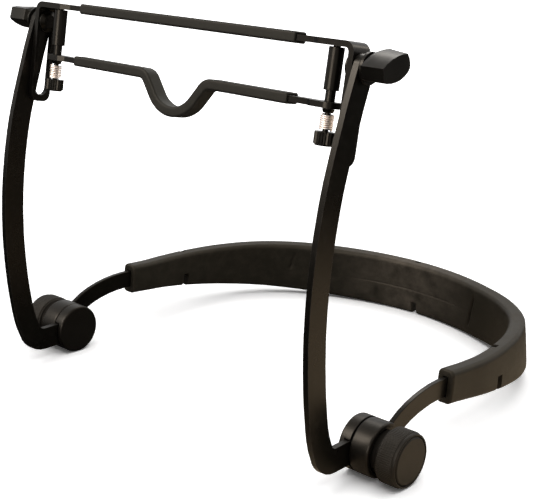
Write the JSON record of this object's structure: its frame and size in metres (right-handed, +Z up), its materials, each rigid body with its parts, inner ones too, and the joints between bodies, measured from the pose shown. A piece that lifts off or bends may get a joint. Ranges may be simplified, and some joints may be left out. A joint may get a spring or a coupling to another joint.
{
  "type": "harmonica holder",
  "caption": "Neck-worn harmonica holder: padded neck band, two hinged bowed arms and a spring-loaded two-jaw clamp that tilts and slides between them",
  "frame": {"origin": "on the floor that it stands on, below the middle of the whole holder", "axes": "+X is the holder's width, towards the side called right as seen by the audience; -Y faces the audience, +Y is the neck side; +Z is up"},
  "size_m": [0.2054, 0.196, 0.1563],
  "materials": {
    "black_metal": "satin black powder coat",
    "black_plastic": "satin moulded black",
    "pad_rubber": "matte warm black rubber",
    "sleeve_rubber": "matte dark grey rubber",
    "nickel": "bright nickel plate",
    "brass": "plain machined",
    "nylon": "satin"
  },
  "bodies": {
    "neck": {"neck_strip": "black_metal", "neck_pad": "pad_rubber", "band_hub_left": "black_plastic", "band_hub_right": "black_plastic", "friction_washer_left": "nylon", "friction_washer_right": "nylon", "joint_bolt_left": "nickel", "joint_bolt_right": "nickel"},
    "left_arm": {"arm_left": "black_metal", "arm_hub_cap_left": "black_plastic"},
    "right_arm": {"arm_right": "black_metal", "arm_hub_cap_right": "black_plastic"},
    "left_slot_bolt": {"slot_bolt_left": "black_metal"},
    "right_slot_bolt": {"slot_bolt_right": "black_metal"},
    "clamp": {"upper_jaw_frame": "black_metal", "upper_jaw_sleeve": "sleeve_rubber", "guide_post_left": "black_metal", "guide_post_right": "black_metal", "jaw_spring_left": "nickel", "jaw_spring_right": "nickel"},
    "lower_jaw": {"lower_jaw_bar": "black_metal", "lower_jaw_sleeve": "sleeve_rubber", "guide_bush_left": "black_metal", "guide_bush_right": "black_metal"},
    "left_jaw_screw": {"jaw_screw_left": "black_metal"},
    "right_jaw_screw": {"jaw_screw_right": "black_metal"},
    "left_wing_knob": {"wing_knob_left": "black_plastic", "wing_insert_left": "brass"},
    "right_wing_knob": {"wing_knob_right": "black_plastic", "wing_insert_right": "brass"},
    "left_joint_knob": {"joint_knob_left": "black_plastic", "knob_insert_left": "brass", "knob_badge_left": "black_plastic"},
    "right_joint_knob": {"joint_knob_right": "black_plastic", "knob_insert_right": "brass", "knob_badge_right": "black_plastic"}
  },
  "joints": [
    {"name": "arm_swing_left", "type": "hinge", "parent": "neck", "child": "left_arm", "pos_m": [-0.0825, -0.06196, 0.0106], "axis": [1, 0, 0], "range_deg": [-65, 45]},
    {"name": "arm_swing_right", "type": "hinge", "parent": "neck", "child": "right_arm", "pos_m": [0.0825, -0.06196, 0.0106], "axis": [1, 0, 0], "range_deg": [-65, 45]},
    {"name": "clamp_tilt_left", "type": "hinge", "parent": "left_arm", "child": "left_slot_bolt", "pos_m": [-0.08, -0.07514, 0.1474], "axis": [1, 0, 0], "range_deg": [-80, 90]},
    {"name": "clamp_tilt_right", "type": "hinge", "parent": "right_arm", "child": "right_slot_bolt", "pos_m": [0.08, -0.07514, 0.1474], "axis": [1, 0, 0], "range_deg": [-80, 90]},
    {"name": "clamp_slide", "type": "slide", "parent": "left_slot_bolt", "child": "clamp", "axis": [0, 0.1478, 0.989], "range_m": [0, 0.025]},
    {"name": "jaw_press", "type": "slide", "parent": "clamp", "child": "lower_jaw", "axis": [0, 0.1478, 0.989], "range_m": [-0.002, 0.0034], "stiffness_N_per_m": 2000, "deforming": ["jaw_spring_left", "jaw_spring_right"]},
    {"name": "jaw_screw_turn_left", "type": "hinge", "parent": "clamp", "child": "left_jaw_screw", "pos_m": [-0.0697, -0.0781, 0.12762], "axis": [0, -0.1478, -0.989], "continuous": true},
    {"name": "jaw_screw_turn_right", "type": "hinge", "parent": "clamp", "child": "right_jaw_screw", "pos_m": [0.0697, -0.0781, 0.12762], "axis": [0, -0.1478, -0.989], "continuous": true},
    {"name": "wing_knob_turn_left", "type": "hinge", "parent": "left_slot_bolt", "child": "left_wing_knob", "pos_m": [-0.088, -0.07514, 0.1474], "axis": [-1, 0, 0], "continuous": true},
    {"name": "wing_knob_turn_right", "type": "hinge", "parent": "right_slot_bolt", "child": "right_wing_knob", "pos_m": [0.088, -0.07514, 0.1474], "axis": [1, 0, 0], "continuous": true},
    {"name": "joint_knob_turn_left", "type": "hinge", "parent": "neck", "child": "left_joint_knob", "pos_m": [-0.097, -0.06196, 0.0106], "axis": [-1, 0, 0], "continuous": true},
    {"name": "joint_knob_turn_right", "type": "hinge", "parent": "neck", "child": "right_joint_knob", "pos_m": [0.097, -0.06196, 0.0106], "axis": [1, 0, 0], "continuous": true}
  ],
  "couplings": [
    {"joint": "arm_swing_right", "follows": "arm_swing_left", "ratio": 1},
    {"joint": "clamp_tilt_right", "follows": "clamp_tilt_left", "ratio": 1}
  ]
}
